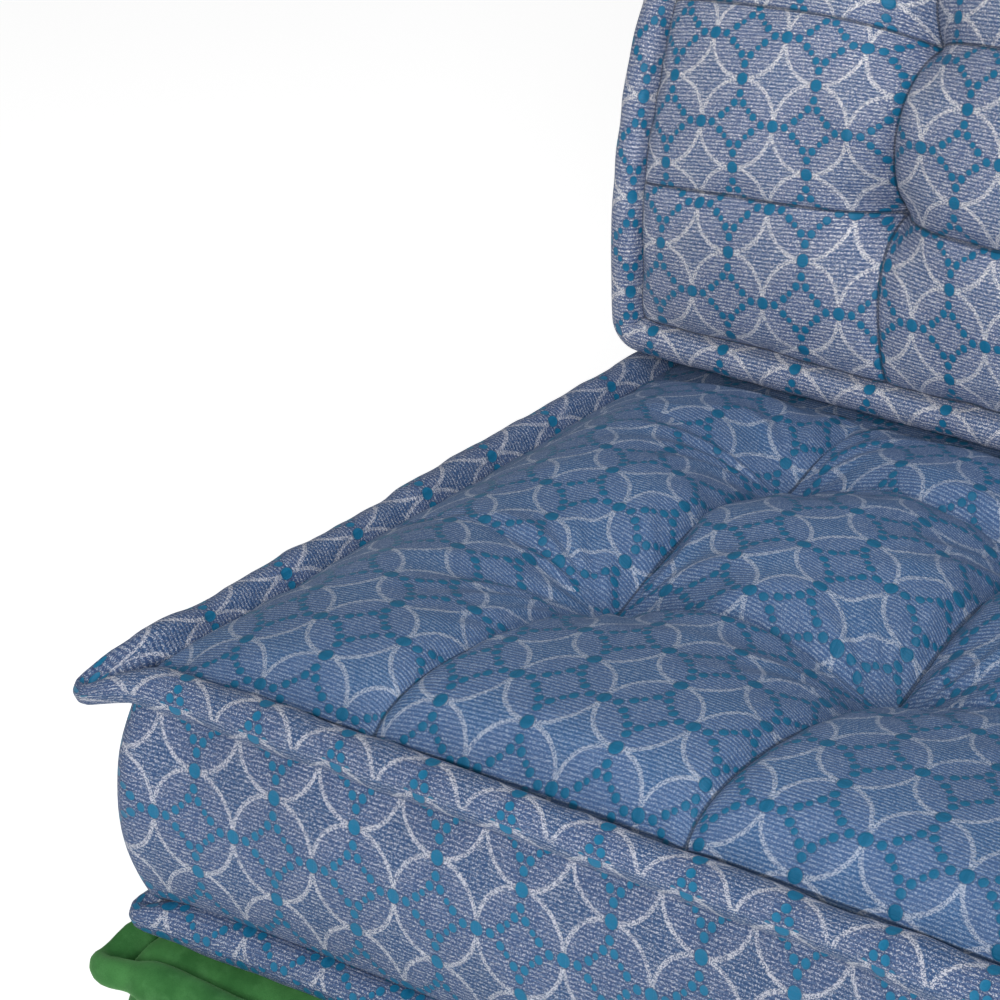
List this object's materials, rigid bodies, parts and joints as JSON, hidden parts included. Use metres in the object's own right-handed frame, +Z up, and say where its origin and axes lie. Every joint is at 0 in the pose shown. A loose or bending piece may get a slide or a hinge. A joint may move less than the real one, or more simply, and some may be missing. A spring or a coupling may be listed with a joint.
{
  "type": "modular sectional sofa",
  "caption": "Armless module of a stacked cushion sofa: tufted seat and curved tufted back cushion with rolled edges, on a matching base cushion.",
  "frame": {"origin": "middle of the footprint, on the floor", "axes": "+Z up, +Y towards the rear of the back cushion, +X to the sitter's left, which is right in a view from the front"},
  "size_m": [0.95, 1.015, 0.7644],
  "materials": {
    "blue_jacquard": "woven jacquard, blue ground with silver and teal yarns",
    "green_velvet": "cotton velvet",
    "foam": "upholstery foam, open-cell",
    "plywood": "unfinished plywood",
    "tie_cord_blue": "waxed twine",
    "tie_cord_green": "waxed twine",
    "zip_tape_blue": "woven zip tape and coil",
    "zip_tape_green": "woven zip tape and coil",
    "zip_metal": "nickel-plated zinc"
  },
  "bodies": {
    "base_cushion": {"base_core": "foam", "base_top_panel": "green_velvet", "base_side_band": "green_velvet", "base_bottom_panel": "green_velvet", "base_top_roll": "green_velvet", "base_bottom_roll": "green_velvet", "base_tufting_ties": "tie_cord_green", "base_zip_tape": "zip_tape_green", "base_zip_chain": "zip_tape_green"},
    "base_slider": {"base_zip_slider": "zip_metal"},
    "base_pull": {"base_zip_pull": "zip_metal"},
    "seat_cushion": {"seat_core": "foam", "seat_top_panel": "blue_jacquard", "seat_side_band": "blue_jacquard", "seat_bottom_panel": "blue_jacquard", "seat_top_roll": "blue_jacquard", "seat_bottom_roll": "blue_jacquard", "seat_tufting_ties": "tie_cord_blue", "seat_zip_tape": "zip_tape_blue", "seat_zip_chain": "zip_tape_blue"},
    "seat_slider": {"seat_zip_slider": "zip_metal"},
    "seat_pull": {"seat_zip_pull": "zip_metal"},
    "back_cushion": {"back_core": "foam", "back_base_board": "plywood", "back_front_panel": "blue_jacquard", "back_left_side": "blue_jacquard", "back_right_side": "blue_jacquard", "back_top_band": "blue_jacquard", "back_rear_panel": "blue_jacquard", "back_bottom_panel": "blue_jacquard", "back_front_roll": "blue_jacquard", "back_rear_roll": "blue_jacquard", "back_tufting_ties": "tie_cord_blue", "back_zip_tape": "zip_tape_blue", "back_zip_chain": "zip_tape_blue"},
    "back_slider": {"back_zip_slider": "zip_metal"},
    "back_pull": {"back_zip_pull": "zip_metal"}
  },
  "joints": [
    {"name": "seat_lift", "type": "slide", "parent": "base_cushion", "child": "seat_cushion", "axis": [0, 0, 1], "range_m": [0, 0.25]},
    {"name": "back_lift", "type": "slide", "parent": "seat_cushion", "child": "back_cushion", "axis": [0, 0, 1], "range_m": [0, 0.45]},
    {"name": "base_zip_slide", "type": "slide", "parent": "base_cushion", "child": "base_slider", "axis": [-1, 0, 0], "range_m": [0, 0.674]},
    {"name": "base_pull_swing", "type": "hinge", "parent": "base_slider", "child": "base_pull", "pos_m": [0.3372, 0.4911, 0.092], "axis": [1, 0, 0], "range_deg": [0, 150]},
    {"name": "seat_zip_slide", "type": "slide", "parent": "seat_cushion", "child": "seat_slider", "axis": [-1, 0, 0], "range_m": [0, 0.674]},
    {"name": "seat_pull_swing", "type": "hinge", "parent": "seat_slider", "child": "seat_pull", "pos_m": [0.3372, 0.4911, 0.2764], "axis": [1, 0, 0], "range_deg": [0, 150]},
    {"name": "back_zip_slide", "type": "slide", "parent": "back_cushion", "child": "back_slider", "axis": [-1, 0, 0], "range_m": [0, 0.674]},
    {"name": "back_pull_swing", "type": "hinge", "parent": "back_slider", "child": "back_pull", "pos_m": [0.3372, 0.4941, 0.4491], "axis": [1, 0, 0], "range_deg": [0, 150]}
  ]
}
